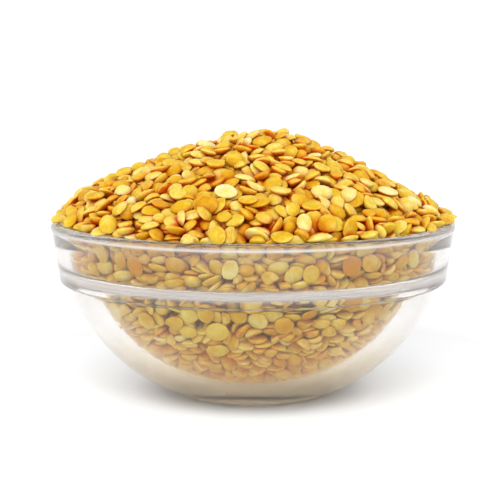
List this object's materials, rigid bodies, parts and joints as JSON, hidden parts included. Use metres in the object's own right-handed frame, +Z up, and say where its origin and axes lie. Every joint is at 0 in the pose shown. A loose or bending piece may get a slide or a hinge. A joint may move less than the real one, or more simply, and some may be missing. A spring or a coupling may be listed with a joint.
{
  "type": "glass bowl of dry split lentils",
  "caption": "Clear glass stacking bowl with a stepped collar and a foot ring, heaped above its rim with dry yellow split lentils.",
  "frame": {"origin": "middle of the foot ring's resting plane, on the bowl's axis", "axes": "+Z up along the bowl's axis; the bowl is round, so X and Y are any two level directions"},
  "size_m": [0.1406, 0.1406, 0.0933],
  "materials": {
    "clear_glass": "clear pressed glass, smooth and glossy, faintly grey at its edges",
    "split_lentil": "dry skinned pulse, matte with a faint satin sheen, from pale cream to deep yellow-orange"
  },
  "bodies": {
    "root": {"bowl": "clear_glass", "lentils": "split_lentil"}
  },
  "joints": []
}
